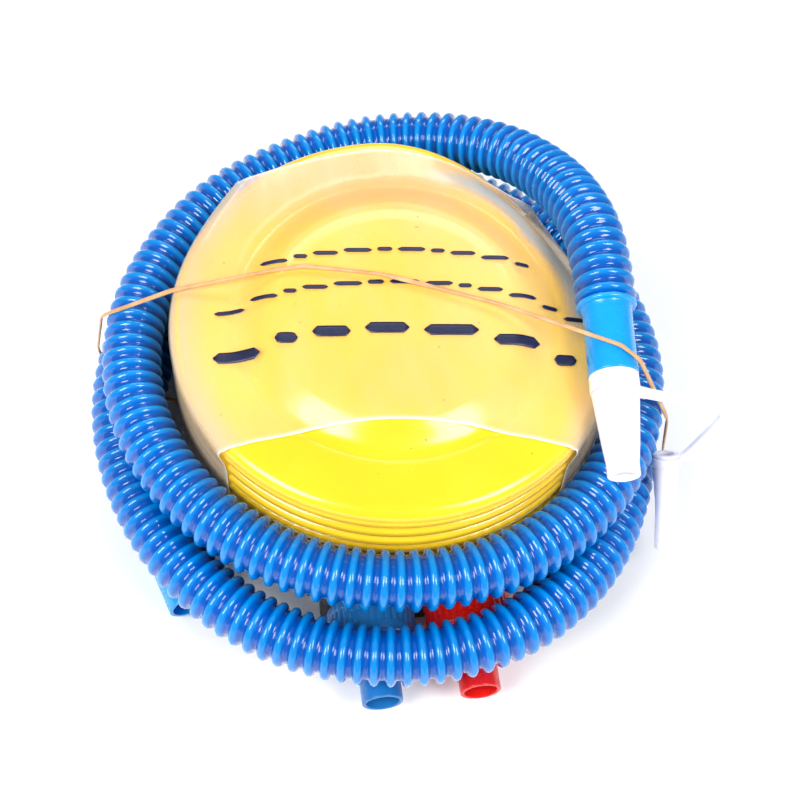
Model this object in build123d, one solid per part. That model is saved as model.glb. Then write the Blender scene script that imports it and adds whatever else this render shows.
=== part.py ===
from build123d import *
import math
import os

# Foot-operated ball inflation pump, packed with its ribbed hose wound round it.
# Millimetres. Origin: middle of the pump's underside. +Z up, valve nozzles towards -Y.

# ---------------------------------------------------------------- driving sizes
PUMP_RADIUS = 75.0            # outside of the bellows and of the base shell
PUMP_HEIGHT = 78.0            # flat annulus of the top
FOOT_HEIGHT = 2.0             # rubber feet under the base
FOOT_RADIUS = 5.0
FLOOR_THICKNESS = 2.5         # floor of the base shell
SHELL_WALL = 2.2
SHELL_TOP = 30.0              # rim of the base shell, where the bellows starts
GAP = 0.2                     # clearance between loose neighbours

TOP_RADIUS = PUMP_RADIUS
TOP_EDGE_RADIUS = 4.0         # rounding of the top's outer edge
TOP_WALL = 2.0
DOME_RADIUS = 53.5            # raised foot pad in the middle of the top
DOME_SHOULDER = 5.0
DOME_RISE = 7.0
STIFFENER_RADIUS = 57.0       # plate under the foot pad

BELLOWS_TOP = PUMP_HEIGHT - TOP_EDGE_RADIUS
PLEATS = 7
PLEAT_DEPTH = 5.5
BELLOWS_WALL = 1.0

SPRING_RADIUS = 22.0
SPRING_WIRE = 2.6
SPRING_COILS = 5.5

VALVE_SPACING = 33.0          # between the two nozzle axes
VALVE_AXIS_Z = 16.5
BLOCK_FACE_Y = -78.0          # front face of the valve block
BLOCK_HALF_WIDTH = 33.0
CAP_RADIUS = 15.0             # round body of a valve housing
CAP_LENGTH = 13.0
SPIGOT_RADIUS = 11.5          # end of the housing pushed into the block
SPIGOT_LENGTH = 8.0
SPIGOT_BORE = 9.6
NOZZLE_ROOT_RADIUS = 9.3
NOZZLE_TIP_RADIUS = 6.9
NOZZLE_CONE_LENGTH = 12.0
NOZZLE_TIP_LENGTH = 8.5
NOZZLE_BORE = 5.6
GASKET_THICKNESS = 1.0
SEAT_THICKNESS = 2.5
SEAT_HOLE = 7.4
FLAP_RADIUS = 8.4
FLAP_THICKNESS = 0.8

HOSE_RADIUS = 10.2            # over the ribs
HOSE_WALL = 1.0               # wall of the plain tube that stands for the ribbed one
CUFF_RADIUS = 8.25
CUFF_BORE = 7.0
CUFF_LENGTH = 25.5
CUFF_FLANGE_RADIUS = 10.0
CUFF_FLANGE = 1.6

FILM_INSET = 0.25             # between the pump and the film
FILM_THICKNESS = 0.3
FILM_FRONT_Y = -52.0
FILM_BACK_Y = 58.0
FILM_TUCK_RADIUS = 60.0       # each side is folded in under the base as far as this
FILM_BOTTOM = 1.35
FILM_TURN = -6.0              # the sleeve sits a little askew, degrees about +Z

BAND_RADIUS = 0.6
BAND_BEND = 5.0               # smallest bend of the band's centreline
# Corners of the stretched band: over the foot pad to the hose's end, down the right-hand
# turns, under the base past its middle foot, up the left-hand turns and over the rim.
BAND_ROUTE = [
    (12, 4.3, 86.9), (34, -5.5, 87.4), (67.9, -31, 97), (73.8, -34.9, 93.2), (92.3, -32.7, 47),
    (95.3, -33.3, 21), (92.6, -32.7, 15.2), (71.8, -26.8, 0.65), (-4.1, -10.5, 0.65),
    (-93.5, 26, 0.65), (-100, 26.6, 6.8), (-102.6, 25.6, 33.2), (-99.9, 22, 60.2),
    (-72.7, 16.6, 79.4), (-41, 16.8, 85.4), (-29, 17, 86.6), (-4, 11, 86.9),
]

# Hose centreline, from the air nozzle's cuff to the pump cuff: angle about +Z in
# degrees (it keeps growing as the hose winds), radius and height. It starts on the
# edge of the top, drops behind the pump and winds down to the floor.
HOSE_ROUTE = [
    (-9, 69, 89.5), (4.5, 69.7, 91.7), (25.5, 76.8, 91), (45, 85.2, 82.2), (64.5, 91.5, 67.8),
    (85, 92.3, 56.5), (104.5, 92, 53.3), (123, 90.6, 53.5), (144, 90, 54), (166, 91.3, 54.5),
    (189, 91.3, 54.5), (212, 89.5, 54), (235, 88.2, 54.5), (258, 88.3, 56), (281, 88.3, 54),
    (304, 88.2, 50.5), (327, 88, 47.5), (350, 88, 44.5), (373, 88, 41.5), (396, 88, 38.5),
    (419, 88, 36), (442, 88, 34), (465, 88.4, 32.8), (488, 90.5, 32.4), (511, 94, 32.4),
    (534, 96.8, 32.8), (557, 97.8, 33.5), (580, 99.5, 35), (602, 103, 37), (624, 106.5, 38),
    (645, 105.6, 37), (666, 99.6, 32), (687, 91.8, 26), (709, 89, 21), (731, 88.2, 17),
    (754, 88, 14), (777, 88, 12), (800, 88.2, 10.9), (823, 89, 10.6), (846, 91, 11.3),
    (869, 93, 12.1), (891, 94, 12.1), (912, 94.3, 11.2), (927, 95, 10.6),
]

FLOOR_Z = FOOT_HEIGHT + FLOOR_THICKNESS


def save(shape, node):
    shape.label = node
    export_step(shape, f"parts/{node}.step")


def route_point(angle, radius, height):
    turn = math.radians(angle)
    return Vector(radius * math.cos(turn), radius * math.sin(turn), height)


def ring(outer, inner, z_low, z_high):
    """Plain ring about +Z."""
    blank = Cylinder(outer, z_high - z_low, align=(Align.CENTER, Align.CENTER, Align.MIN))
    hole = Cylinder(inner, z_high - z_low, align=(Align.CENTER, Align.CENTER, Align.MIN))
    return Pos(0, 0, z_low) * (blank - hole)


def disc(radius, z_low, z_high):
    solid = Cylinder(radius, z_high - z_low, align=(Align.CENTER, Align.CENTER, Align.MIN))
    return Pos(0, 0, z_low) * solid


def turned(points):
    """Revolve a closed (radius, z) outline about +Z."""
    outline = Polyline(*points, close=True)
    return revolve(Plane.XZ * make_face(outline), Axis.Z)


def on_axis(solid, start, direction):
    """Put a solid made along +Z at start, pointing along direction."""
    return Plane(origin=start, z_dir=direction) * solid


# ---------------------------------------------------------------- base shell
def base_shell():
    """Black shell: floor, wall and the block that takes both valves."""
    body = disc(PUMP_RADIUS, FOOT_HEIGHT, SHELL_TOP)
    body -= disc(PUMP_RADIUS - SHELL_WALL, FLOOR_Z, SHELL_TOP)
    depth = -BLOCK_FACE_Y - 66
    block = Box(2 * BLOCK_HALF_WIDTH, depth, SHELL_TOP - FOOT_HEIGHT,
                align=(Align.CENTER, Align.MIN, Align.MIN))
    block = fillet(block.edges().filter_by(Axis.Z), 3)
    body += Pos(0, BLOCK_FACE_Y, FOOT_HEIGHT) * block
    for side in (-1, 1):
        bore = Cylinder(SPIGOT_RADIUS + 0.05, 30)
        body -= Pos(side * VALVE_SPACING / 2, BLOCK_FACE_Y, VALVE_AXIS_Z) * Rot(90, 0, 0) * bore
    seat = ring(SPRING_RADIUS + 5, SPRING_RADIUS + 2.2, FLOOR_Z, FLOOR_Z + 4)
    return body + seat


def rubber_feet():
    """Four feet near the edge and one pad under the spring, clear of the film."""
    foot = disc(FOOT_RADIUS, 0, FOOT_HEIGHT)
    feet = [Pos(side * x, y, 0) * foot for side in (-1, 1) for x, y in ((28, -64), (20, 66))]
    return Compound(children=feet + [disc(2 * FOOT_RADIUS, 0, FOOT_HEIGHT)])


# ---------------------------------------------------------------- valves
def place_valve(solid, side):
    """Turn a solid made along +Z so that it points along -Y from the block's face."""
    return Pos(side * VALVE_SPACING / 2, BLOCK_FACE_Y, VALVE_AXIS_Z) * Rot(90, 0, 0) * solid


def valve_housing(side):
    """Spigot, round cap and tapered nozzle in one moulding, hollow throughout."""
    cap_start = GASKET_THICKNESS
    cap_end = cap_start + CAP_LENGTH
    cone_end = cap_end + NOZZLE_CONE_LENGTH
    tip_end = cone_end + NOZZLE_TIP_LENGTH
    outside = turned([
        (0, -SPIGOT_LENGTH), (SPIGOT_RADIUS, -SPIGOT_LENGTH), (SPIGOT_RADIUS, cap_start),
        (CAP_RADIUS, cap_start), (CAP_RADIUS, cap_end - 1.5), (CAP_RADIUS - 1.5, cap_end),
        (NOZZLE_ROOT_RADIUS, cap_end), (NOZZLE_TIP_RADIUS, cone_end),
        (NOZZLE_TIP_RADIUS, tip_end), (0, tip_end),
    ])
    chamber = turned([
        (0, -SPIGOT_LENGTH), (SPIGOT_BORE, -SPIGOT_LENGTH), (SPIGOT_BORE, cap_start + 1),
        (CAP_RADIUS - 2.4, cap_start + 3), (CAP_RADIUS - 2.4, cap_end - 4),
        (NOZZLE_BORE, cap_end - 1), (NOZZLE_BORE, tip_end), (0, tip_end),
    ])
    return place_valve(outside - chamber, side)


def valve_gasket(side):
    return place_valve(ring(CAP_RADIUS - 0.6, SPIGOT_RADIUS + 0.1, 0, GASKET_THICKNESS), side)


def valve_seat(side):
    """Ring with a cross that the flap closes on, inside the spigot."""
    seat = ring(SPIGOT_BORE - 0.02, SEAT_HOLE, -6, -6 + SEAT_THICKNESS)
    for turn in (0, 90):
        bar = Box(2 * SEAT_HOLE + 1, 1.2, SEAT_THICKNESS, align=(Align.CENTER, Align.CENTER, Align.MIN))
        seat += Pos(0, 0, -6) * Rot(0, 0, turn) * bar
    return place_valve(seat, side)


def valve_flap(side, outward):
    """Round flap with a hinge bead along its top edge."""
    start = -6 + SEAT_THICKNESS + GAP if outward else -6 - GAP - FLAP_THICKNESS
    flap = disc(FLAP_RADIUS, start, start + FLAP_THICKNESS)
    bead = Pos(0, FLAP_RADIUS - 0.6, start + FLAP_THICKNESS / 2) * Rot(0, 90, 0) * Cylinder(0.55, 5)
    return place_valve(flap + bead, side)


# ---------------------------------------------------------------- bellows and spring
def bellows():
    """Pleated yellow tube from the shell's rim to the top."""
    pitch = (BELLOWS_TOP - SHELL_TOP) / PLEATS
    crest = PUMP_RADIUS
    valley = PUMP_RADIUS - PLEAT_DEPTH
    outer = [(crest, SHELL_TOP)]
    for pleat in range(PLEATS):
        low = SHELL_TOP + pleat * pitch
        outer += [(crest, low + 0.22 * pitch), (valley, low + 0.5 * pitch), (valley, low + 0.6 * pitch),
                  (crest, low + 0.88 * pitch)]
    outer.append((crest - 1, BELLOWS_TOP))
    inner = [(r - BELLOWS_WALL, z) for r, z in reversed(outer)]
    return turned(outer + inner)


def return_spring():
    low = FLOOR_Z + SPRING_WIRE / 2
    high = BELLOWS_TOP - 4.4 - SPRING_WIRE / 2
    pitch = (high - low) / SPRING_COILS
    helix = Pos(0, 0, low) * Helix(pitch, high - low, SPRING_RADIUS)
    section = Plane(origin=helix @ 0, z_dir=helix % 0) * Circle(SPRING_WIRE / 2)
    return sweep(section, path=helix)


# ---------------------------------------------------------------- top
def top_outline(offset):
    """Half outline of the top's upper side, moved out by offset, as (radius, z) lines."""
    pad_z = PUMP_HEIGHT + offset
    corner_x = TOP_RADIUS - TOP_EDGE_RADIUS
    crown = Spline([(0, pad_z + DOME_RISE), (28, pad_z + 0.86 * DOME_RISE),
                    (DOME_RADIUS - DOME_SHOULDER, pad_z + 0.5 * DOME_RISE), (DOME_RADIUS, pad_z)],
                   tangents=[(1, 0), (1, -0.6)])
    annulus = Line((DOME_RADIUS, pad_z), (corner_x, pad_z))
    edge = CenterArc((corner_x, PUMP_HEIGHT - TOP_EDGE_RADIUS), TOP_EDGE_RADIUS + offset, 90, -90)
    return [crown, annulus, edge]


def top_profile(offset, bottom):
    """Closed half section under the top's outline, down to bottom."""
    lines = top_outline(offset)
    end = lines[-1] @ 1
    below = [(end.X, bottom)] if bottom < end.Y else []
    lines.append(Polyline(end, *below, (0, bottom), lines[0] @ 0))
    return Plane.XZ * make_face(lines)


def top_shell():
    """Yellow top: flat annulus, rounded edge and raised foot pad."""
    outside = revolve(top_profile(0, BELLOWS_TOP), Axis.Z)
    inside = revolve(top_profile(-TOP_WALL, BELLOWS_TOP), Axis.Z)
    return outside - inside


def top_stiffener():
    """Rigid plate under the foot pad that spreads the load of the foot."""
    plate = disc(STIFFENER_RADIUS, BELLOWS_TOP - 2.4, BELLOWS_TOP)
    for angle in range(0, 360, 60):
        plate -= Rot(0, 0, angle) * Pos(42, 0, BELLOWS_TOP - 1.2) * Cylinder(9, 2.4)
    return plate


def spring_cup():
    """Cup that centres the spring under the stiffener."""
    cup = disc(SPRING_RADIUS + 5, BELLOWS_TOP - 4.4, BELLOWS_TOP - 2.4)
    return cup + ring(SPRING_RADIUS - 2.2, SPRING_RADIUS - 4.2, BELLOWS_TOP - 9, BELLOWS_TOP - 4.4)


# ---------------------------------------------------------------- film and band
def film_sleeve():
    """Clear sleeve over the pump, open to the front and back, tucked in underneath."""
    low = FILM_BOTTOM
    outer_edge = PUMP_RADIUS + FILM_INSET + FILM_THICKNESS
    inner_edge = PUMP_RADIUS + FILM_INSET
    rise = FILM_INSET + FILM_THICKNESS
    outside = revolve(top_profile(rise, BELLOWS_TOP - 2), Axis.Z) + disc(outer_edge, low, BELLOWS_TOP)
    inside = revolve(top_profile(FILM_INSET, BELLOWS_TOP - 2), Axis.Z)
    inside += disc(inner_edge, low + FILM_THICKNESS, BELLOWS_TOP)
    inside += disc(FILM_TUCK_RADIUS, 0, BELLOWS_TOP)
    window = Box(200, FILM_BACK_Y - FILM_FRONT_Y, 200, align=(Align.CENTER, Align.MIN, Align.CENTER))
    window = Rot(0, 0, FILM_TURN) * Pos(0, FILM_FRONT_Y, 0) * window
    return (outside - inside) & window


# ---------------------------------------------------------------- hose and what is on it
ROUTE = [route_point(*entry) for entry in HOSE_ROUTE]


def corner_radii(points):
    """0.45 of the shorter run over the tangent of half the turn, at each corner."""
    radii = []
    for before, here, after in zip(points, points[1:], points[2:]):
        half_turn = math.radians((here - before).get_angle(after - here)) / 2
        shorter = min((here - before).length, (after - here).length)
        radii.append(0.45 * shorter / math.tan(half_turn))
    return radii


def hose():
    """Plain tube with the ribbed hose's outside size, along its whole route."""
    radii = corner_radii(ROUTE)
    path = FilletPolyline(*ROUTE, radius=radii)
    wall = Circle(HOSE_RADIUS) - Circle(HOSE_RADIUS - HOSE_WALL)
    tube = sweep(Plane(origin=path @ 0, z_dir=path % 0) * wall, path=path)
    area = math.pi * (HOSE_RADIUS ** 2 - (HOSE_RADIUS - HOSE_WALL) ** 2)
    print(f"hose length {path.length:.0f}, smallest radius {min(radii):.0f}")
    print(f"hose volume {tube.volume:.0f}, section times length {area * path.length:.0f}")
    return tube


def band_half(corners):
    path = FilletPolyline(*corners, radius=BAND_BEND)
    return sweep(Plane(origin=path @ 0, z_dir=path % 0) * Circle(BAND_RADIUS), path=path)


def rubber_band():
    """Elastic band round the whole bundle, as two halves that meet in straight runs."""
    corners = [Vector(*corner) for corner in BAND_ROUTE]
    half = len(corners) // 2
    over_seam = (corners[-1] + corners[0]) / 2
    under_seam = (corners[half - 1] + corners[half]) / 2
    right = band_half([over_seam] + corners[:half] + [under_seam])
    left = band_half([under_seam] + corners[half:] + [over_seam])
    return right + left


def hose_cuff():
    """Smooth sleeve at a hose end, made along +Z from the hose's face."""
    flange = ring(CUFF_FLANGE_RADIUS, CUFF_BORE, 0, CUFF_FLANGE)
    return flange + ring(CUFF_RADIUS, CUFF_BORE, 0, CUFF_LENGTH)


AIR_CUFF_START = ROUTE[0]
AIR_AXIS = (ROUTE[0] - ROUTE[1]).normalized()
PUMP_CUFF_START = ROUTE[-1]
PUMP_CUFF_AXIS = (ROUTE[-1] - ROUTE[-2]).normalized()
NOZZLE_START = AIR_CUFF_START + AIR_AXIS * CUFF_LENGTH

COLLAR_RADIUS = 8.1
NECK_RADIUS = 6.8
NECK_START = 2.4
NECK_END = 6.0
CONE_ROOT_RADIUS = 7.8
AIR_TIP_RADIUS = 5.3
AIR_NOZZLE_LENGTH = 34.5
PLUG_LENGTH = 11.0


def air_nozzle():
    """White cone that goes into the ball's or toy's valve, pushed into the hose's cuff."""
    outside = turned([
        (0, -PLUG_LENGTH), (CUFF_BORE - 0.05, -PLUG_LENGTH), (CUFF_BORE - 0.05, 0), (COLLAR_RADIUS, 0),
        (COLLAR_RADIUS, NECK_START), (NECK_RADIUS, NECK_START), (NECK_RADIUS, NECK_END),
        (CONE_ROOT_RADIUS, NECK_END), (AIR_TIP_RADIUS, AIR_NOZZLE_LENGTH - 5),
        (AIR_TIP_RADIUS, AIR_NOZZLE_LENGTH), (0, AIR_NOZZLE_LENGTH),
    ])
    passage = turned([
        (0, -PLUG_LENGTH), (5.6, -PLUG_LENGTH), (5.6, NECK_END), (3.9, AIR_NOZZLE_LENGTH - 5),
        (3.9, AIR_NOZZLE_LENGTH), (0, AIR_NOZZLE_LENGTH),
    ])
    return on_axis(outside - passage, NOZZLE_START, AIR_AXIS)


STRAP_WIDTH = 3.6
STRAP_THICKNESS = 2.0
STRAP_BEND = Vector(109, -42, 66)
ADAPTER_TOP = Vector(90, -45, 42)
ADAPTER_TIP = Vector(88.3, -69.2, 20)
ADAPTER_AXIS = (ADAPTER_TIP - ADAPTER_TOP).normalized()
ADAPTER_LENGTH = (ADAPTER_TIP - ADAPTER_TOP).length
ADAPTER_TIP_RADIUS = 3.4


def nozzle_tether():
    """Moulded strap from a ring on the nozzle's neck to the small adapter."""
    neck_ring = ring(COLLAR_RADIUS, NECK_RADIUS + 0.15, NECK_START + 0.15, NECK_END - 0.15)
    neck_ring = on_axis(neck_ring, NOZZLE_START, AIR_AXIS)
    neck = NOZZLE_START + AIR_AXIS * (NECK_START + NECK_END) / 2
    reach = STRAP_BEND - neck
    across = (reach - AIR_AXIS * reach.dot(AIR_AXIS)).normalized()
    start = neck + across * (NECK_RADIUS + 0.7)
    end = ADAPTER_TOP + ADAPTER_AXIS * 1.5 + Vector(6.4, 0, 0)
    path = FilletPolyline(start, STRAP_BEND, end, radius=7)
    flat = (STRAP_BEND - start).cross(end - STRAP_BEND).normalized()
    section = Plane(origin=path @ 0, z_dir=path % 0, x_dir=flat) * Rectangle(STRAP_THICKNESS, STRAP_WIDTH)
    eye = on_axis(ring(5.4, 4.05, 0, 3), ADAPTER_TOP, ADAPTER_AXIS)
    return neck_ring + sweep(section, path=path) + eye


def small_adapter():
    """Small open tube for narrow valves, carried in the tether's eye."""
    outside = turned([
        (0, -1.2), (4.8, -1.2), (4.8, 0), (4.0, 0), (4.0, 3), (4.6, 3.1), (ADAPTER_TIP_RADIUS, 16),
        (ADAPTER_TIP_RADIUS, ADAPTER_LENGTH), (0, ADAPTER_LENGTH),
    ])
    passage = turned([(0, -1.2), (2.8, -1.2), (2.3, 12), (2.3, ADAPTER_LENGTH), (0, ADAPTER_LENGTH)])
    return on_axis(outside - passage, ADAPTER_TOP, ADAPTER_AXIS)


# ---------------------------------------------------------------- write every part
def main():
    os.makedirs("parts", exist_ok=True)
    save(base_shell(), "base_shell")
    save(rubber_feet(), "rubber_feet")
    for name, side, outward in (("blue", -1, True), ("red", 1, False)):
        save(valve_housing(side), f"{name}_valve_housing")
        save(valve_gasket(side), f"{name}_valve_gasket")
        save(valve_seat(side), f"{name}_valve_seat")
        save(valve_flap(side, outward), f"{name}_valve_flap")
    save(bellows(), "bellows")
    save(return_spring(), "return_spring")
    save(top_shell(), "top_shell")
    save(top_stiffener(), "top_stiffener")
    save(spring_cup(), "spring_cup")
    save(film_sleeve(), "film_sleeve")
    save(rubber_band(), "rubber_band")
    save(hose(), "hose")
    save(on_axis(hose_cuff(), AIR_CUFF_START, AIR_AXIS), "air_end_cuff")
    save(on_axis(hose_cuff(), PUMP_CUFF_START, PUMP_CUFF_AXIS), "pump_end_cuff")
    save(air_nozzle(), "air_nozzle")
    save(nozzle_tether(), "nozzle_tether")
    save(small_adapter(), "small_adapter")


main()
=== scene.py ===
import math

import bmesh
import bpy
import numpy as np
from mathutils import Matrix, Vector, noise


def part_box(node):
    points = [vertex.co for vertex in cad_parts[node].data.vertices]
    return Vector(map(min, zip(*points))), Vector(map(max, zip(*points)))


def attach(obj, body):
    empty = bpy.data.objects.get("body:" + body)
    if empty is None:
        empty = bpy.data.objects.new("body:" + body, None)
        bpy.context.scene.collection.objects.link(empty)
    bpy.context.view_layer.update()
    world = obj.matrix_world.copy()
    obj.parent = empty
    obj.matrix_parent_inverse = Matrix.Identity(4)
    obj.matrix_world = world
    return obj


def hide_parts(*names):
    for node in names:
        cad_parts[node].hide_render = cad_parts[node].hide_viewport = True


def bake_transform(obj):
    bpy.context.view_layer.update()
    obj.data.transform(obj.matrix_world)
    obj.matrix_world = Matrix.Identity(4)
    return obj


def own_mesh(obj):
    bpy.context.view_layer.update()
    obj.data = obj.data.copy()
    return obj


# Looks of the ball inflation pump: glossy yellow bellows pump in a film sleeve, ribbed blue hose
# wound round it, tan rubber band. Lengths are in millimetres and become metres through MM.

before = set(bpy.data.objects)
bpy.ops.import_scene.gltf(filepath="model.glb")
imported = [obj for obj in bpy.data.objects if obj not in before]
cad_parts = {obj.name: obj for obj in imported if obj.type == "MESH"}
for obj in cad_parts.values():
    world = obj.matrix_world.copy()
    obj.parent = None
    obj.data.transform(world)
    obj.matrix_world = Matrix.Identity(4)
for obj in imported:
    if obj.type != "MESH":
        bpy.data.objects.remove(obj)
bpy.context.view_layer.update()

MM = 0.001

# Sizes read from the frame
TOP_LOW, TOP_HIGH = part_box("top_shell")
BELLOWS_LOW, BELLOWS_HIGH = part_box("bellows")
SPRING_LOW, SPRING_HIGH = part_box("return_spring")
PUMP_RADIUS = TOP_HIGH.x / MM
DOME_TOP = TOP_HIGH.z / MM

# Sizes of the pump's top, as in the CAD part
DOME_RISE = 7.0
PAD_Z = DOME_TOP - DOME_RISE
DOME_RADIUS = 53.5
TOP_EDGE = 4.0


# ---------------------------------------------------------------- small helpers
def linear_rgb(red, green, blue):
    """Linear colour from 0-255 screen values."""
    def linear(value):
        share = value / 255
        return share / 12.92 if share <= 0.04045 else ((share + 0.055) / 1.055) ** 2.4
    return linear(red), linear(green), linear(blue), 1.0


def smoothstep(low, high, value):
    share = min(1.0, max(0.0, (value - low) / (high - low)))
    return share * share * (3 - 2 * share)


def new_mesh(name, points, faces, smooth=True):
    mesh = bpy.data.meshes.new(name)
    mesh.from_pydata([tuple(p) for p in points], [], faces)
    mesh.update()
    if smooth:
        mesh.polygons.foreach_set("use_smooth", [True] * len(mesh.polygons))
    piece = bpy.data.objects.new(name, mesh)
    bpy.context.scene.collection.objects.link(piece)
    return piece


def fix_normals(piece, sharp_degrees=None):
    bm = bmesh.new()
    bm.from_mesh(piece.data)
    bmesh.ops.recalc_face_normals(bm, faces=bm.faces)
    bm.to_mesh(piece.data)
    bm.free()
    if sharp_degrees is not None:
        piece.data.set_sharp_from_angle(angle=math.radians(sharp_degrees))


def point_values(piece, name, values):
    layer = piece.data.attributes.new(name, "FLOAT", "POINT")
    layer.data.foreach_set("value", np.asarray(values, np.float32))


def axis_frame(origin, direction):
    """Matrix that takes +Z to direction and the origin to origin."""
    turn = Vector((0, 0, 1)).rotation_difference(Vector(direction).normalized())
    return Matrix.Translation(Vector(origin)) @ turn.to_matrix().to_4x4()


def lathe(name, outline, place=Matrix.Identity(4), segments=96, sharp_degrees=35, wobble=None):
    """Turn a closed (radius, height) outline in millimetres about +Z and put it in place."""
    points, faces, rings = [], [], []
    for radius, height in outline:
        if radius < 1e-6:
            rings.append([len(points)])
            points.append(place @ Vector((0, 0, height * MM)))
            continue
        start = len(points)
        for step in range(segments):
            angle = 2 * math.pi * step / segments
            out = radius + (wobble(angle, height) if wobble else 0)
            spot = Vector((out * math.cos(angle), out * math.sin(angle), height)) * MM
            points.append(place @ spot)
        rings.append(list(range(start, start + segments)))
    for ring, after in zip(rings, rings[1:] + rings[:1]):
        if len(ring) == 1 and len(after) == 1:
            continue
        for step in range(segments):
            nxt = (step + 1) % segments
            if len(ring) == 1:
                faces.append((ring[0], after[nxt], after[step]))
            elif len(after) == 1:
                faces.append((ring[step], ring[nxt], after[0]))
            else:
                faces.append((ring[step], ring[nxt], after[nxt], after[step]))
    piece = new_mesh(name, points, faces)
    fix_normals(piece, sharp_degrees)
    return piece


def arc(centre, radius, start, end, steps):
    """Points of an arc in the (radius, height) plane, angles in degrees."""
    return [(centre[0] + radius * math.cos(math.radians(start + (end - start) * i / steps)),
             centre[1] + radius * math.sin(math.radians(start + (end - start) * i / steps)))
            for i in range(steps + 1)]


def add_rings(faces, size, count, closed=False):
    """Quads between count rings of size points each, and from the last to the first if closed."""
    for i in range(count if closed else count - 1):
        row, after = i * size, ((i + 1) % count) * size
        for step in range(size):
            nxt = (step + 1) % size
            faces.append((row + step, row + nxt, after + nxt, after + step))


def sweep_tube(name, path, radii, segments=24):
    """Closed-ended tube along path, a list of points in metres, with one radius in metres for each."""
    count = len(path)
    tangents = [(path[min(i + 1, count - 1)] - path[max(i - 1, 0)]).normalized() for i in range(count)]
    side = tangents[0].orthogonal().normalized()
    points, faces = [], []
    for spot, tangent, radius in zip(path, tangents, radii):
        side = (side - tangent * side.dot(tangent)).normalized()
        up = tangent.cross(side)
        for step in range(segments):
            angle = 2 * math.pi * step / segments
            points.append(spot + (side * math.cos(angle) + up * math.sin(angle)) * radius)
    add_rings(faces, segments, count)
    faces.append(tuple(reversed(range(segments))))
    faces.append(tuple(range((count - 1) * segments, count * segments)))
    piece = new_mesh(name, points, faces)
    fix_normals(piece)
    return piece


def curve_points(points, resolution=24, closed=False):
    """Points of a quadratic NURBS spline with these control points, as Blender works them out."""
    curve = bpy.data.curves.new("path", "CURVE")
    curve.dimensions = "3D"
    curve.resolution_u = resolution
    spline = curve.splines.new("NURBS")
    spline.points.add(len(points) - 1)
    for spot, control in zip(spline.points, points):
        spot.co = (*control, 1)
    spline.order_u = 3
    if closed:
        spline.use_cyclic_u = True
    else:
        spline.use_endpoint_u = True
    holder = bpy.data.objects.new("path", curve)
    bpy.context.scene.collection.objects.link(holder)
    graph = bpy.context.evaluated_depsgraph_get()
    mesh = bpy.data.meshes.new_from_object(holder.evaluated_get(graph))
    found = [v.co.copy() for v in mesh.vertices]
    bpy.data.meshes.remove(mesh)
    bpy.data.objects.remove(holder)
    bpy.data.curves.remove(curve)
    return found


def resample(points, distances):
    """Points at the given distances along a list of points."""
    spots = np.array([tuple(p) for p in points])
    steps = np.linalg.norm(np.diff(spots, axis=0), axis=1)
    travelled = np.concatenate([[0], np.cumsum(steps)])
    return [Vector([np.interp(d, travelled, spots[:, axis]) for axis in range(3)]) for d in distances]


def path_length(points):
    return sum((b - a).length for a, b in zip(points, points[1:]))


def thicken(piece, thickness, offset):
    """Give a sheet its thickness in millimetres as real faces."""
    modifier = piece.modifiers.new("thickness", "SOLIDIFY")
    modifier.thickness = thickness * MM
    modifier.offset = offset
    bpy.context.view_layer.objects.active = piece
    piece.select_set(True)
    bpy.ops.object.modifier_apply(modifier="thickness")
    piece.select_set(False)


def squash_under_top(piece):
    """Give a piece its own copy of its mesh; it does not shorten the piece."""
    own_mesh(piece)


# ---------------------------------------------------------------- the squeezed soft edge
SQUEEZE_MIDDLE = math.radians(28)      # direction in which the hose presses on the top
SQUEEZE_HALF_WIDTH = math.radians(62)
SQUEEZE_IN = 6.5
SQUEEZE_DOWN = 8.0


def squeezed(spot):
    """Move a point in metres as the hose's end dents the soft bellows and its top."""
    radius = math.hypot(spot.x, spot.y) / MM
    off = math.atan2(spot.y, spot.x) - SQUEEZE_MIDDLE
    off = abs((off + math.pi) % (2 * math.pi) - math.pi)
    if off >= SQUEEZE_HALF_WIDTH or radius < 1:
        return spot
    around = math.cos(0.5 * math.pi * off / SQUEEZE_HALF_WIDTH) ** 2
    amount = around * smoothstep(32, PAD_Z, spot.z / MM)
    inward = 1 - amount * SQUEEZE_IN * smoothstep(60, PUMP_RADIUS, radius) / radius
    down = amount * SQUEEZE_DOWN * smoothstep(56, PUMP_RADIUS, radius) * MM
    return Vector((spot.x * inward, spot.y * inward, spot.z - down))


def squeeze_mesh(piece):
    for vertex in piece.data.vertices:
        vertex.co = squeezed(vertex.co)


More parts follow.
